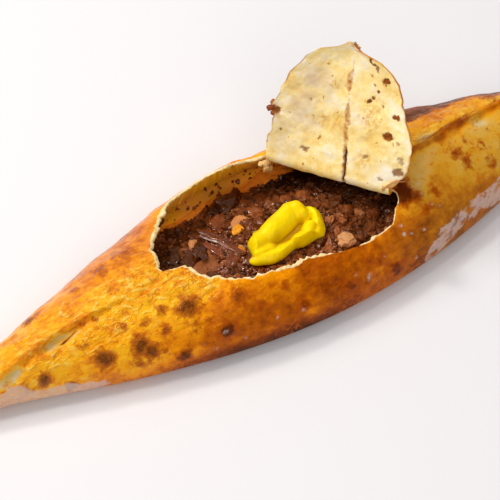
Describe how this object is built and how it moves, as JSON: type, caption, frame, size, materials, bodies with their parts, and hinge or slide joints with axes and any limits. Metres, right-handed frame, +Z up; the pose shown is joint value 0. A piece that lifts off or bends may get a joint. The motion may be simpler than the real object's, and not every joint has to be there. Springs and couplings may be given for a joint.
{
  "type": "turkish pide",
  "caption": "Boat-shaped baked dough loaf with its top torn open, the torn lid folded up, chopped meat filling inside and a knob of butter on the meat.",
  "frame": {"origin": "middle of the flat underside that the loaf rests on", "axes": "+X along the loaf, +Y towards the side that the lid leans to, +Z up"},
  "size_m": [0.4996, 0.1198, 0.1168],
  "materials": {
    "baked_crust": "egg-washed baked dough, glossy golden brown with dark blisters; pale crumb where torn",
    "chopped_meat": "fried chopped meat, dark brown and wet with fat",
    "soft_butter": "soft butter, smooth and slightly glossy"
  },
  "bodies": {
    "root": {"crust": "baked_crust", "filling": "chopped_meat", "butter": "soft_butter"}
  },
  "joints": []
}
